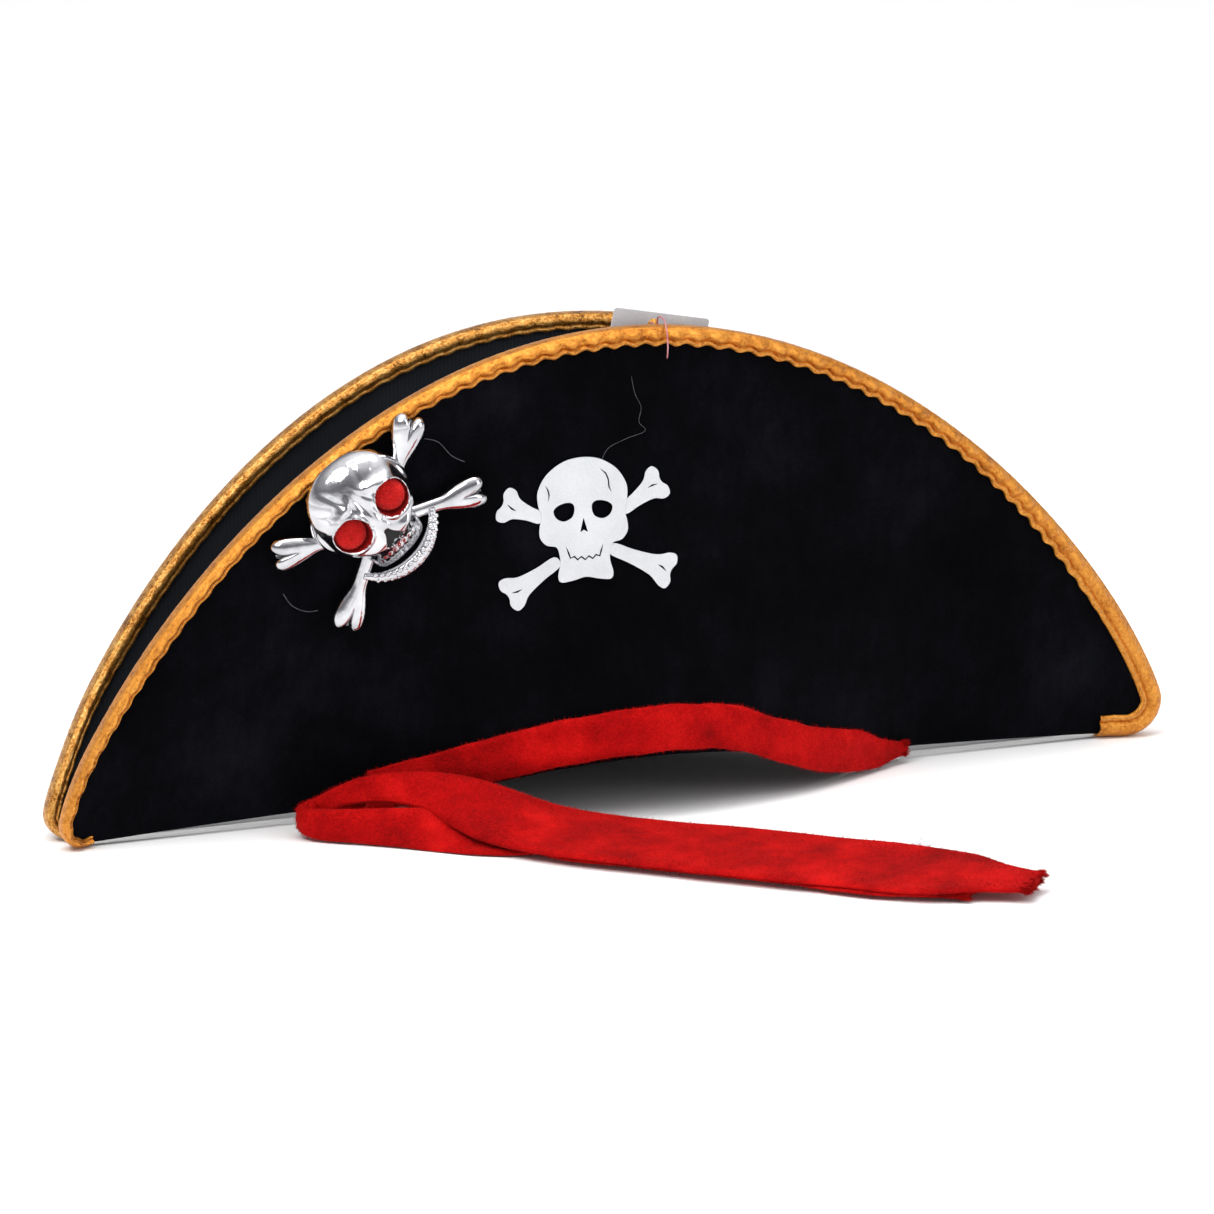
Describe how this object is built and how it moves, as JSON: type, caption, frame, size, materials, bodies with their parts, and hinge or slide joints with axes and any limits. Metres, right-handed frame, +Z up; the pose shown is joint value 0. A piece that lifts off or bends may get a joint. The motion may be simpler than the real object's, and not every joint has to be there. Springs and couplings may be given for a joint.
{
  "type": "pirate hat",
  "caption": "Velvet pirate hat with a turned-up bound brim, a tied sash with hanging tails, a moulded skull badge, a printed emblem and a swing tag.",
  "frame": {"origin": "under the middle of the head opening, on the surface that the hat rests on", "axes": "+Z up as worn, -Y the front with the badge, +X towards the wearer's left, along the hat from tip to tip"},
  "size_m": [0.48, 0.2766, 0.2068],
  "materials": {
    "black_velvet": "deep pile velvet",
    "dark_lining": "flat napped lining",
    "brim_stiffener": "needled felt stiffener",
    "gold_lame": "metallic lame satin",
    "gold_thread": "spun thread",
    "sweatband_twill": "twill",
    "red_velvet": "stretch velvet",
    "metallised_plastic": "vacuum-metallised mirror",
    "red_felt": "wool felt",
    "white_film": "heat-pressed flock film",
    "tag_board": "coated board",
    "clear_nylon": "moulded nylon",
    "label_satin": "woven satin",
    "black_thread": "spun thread"
  },
  "bodies": {
    "hat": {"front_brim_core": "brim_stiffener", "back_brim_core": "brim_stiffener", "front_brim_velvet": "black_velvet", "back_brim_velvet": "black_velvet", "front_brim_lining": "dark_lining", "back_brim_lining": "dark_lining", "front_binding": "gold_lame", "back_binding": "gold_lame", "front_binding_stitch": "gold_thread", "back_binding_stitch": "gold_thread", "crown_side": "black_velvet", "crown_tip": "black_velvet", "crown_lining": "dark_lining", "sweatband": "sweatband_twill", "sash_band": "red_velvet", "sash_knot": "red_velvet", "badge_skull": "metallised_plastic", "badge_jaw": "metallised_plastic", "badge_crossbones": "metallised_plastic", "badge_eye_left": "red_felt", "badge_eye_right": "red_felt", "badge_thread_upper": "black_thread", "badge_thread_lower": "black_thread", "print_skull": "white_film", "print_bone_upper_left": "white_film", "print_bone_upper_right": "white_film", "print_bone_lower_left": "white_film", "print_bone_lower_right": "white_film", "tag_fastener": "clear_nylon"},
    "tail_upper": {"sash_tail_upper": "red_velvet", "care_label": "label_satin"},
    "tail_lower": {"sash_tail_lower": "red_velvet"},
    "tag": {"hang_tag": "tag_board"}
  },
  "joints": [
    {"name": "tail_upper_swing", "type": "hinge", "parent": "hat", "child": "tail_upper", "pos_m": [-0.0575, -0.074, 0.004], "axis": [0, 0, 1], "range_deg": [-60, 8]},
    {"name": "tail_lower_swing", "type": "hinge", "parent": "hat", "child": "tail_lower", "pos_m": [-0.0575, -0.074, 0.004], "axis": [0, 0, 1], "range_deg": [-60, 8]},
    {"name": "tag_swing", "type": "hinge", "parent": "hat", "child": "tag", "pos_m": [0.0125, -0.0187, 0.1961], "axis": [0, 1, 0], "range_deg": [-20, 30]}
  ]
}
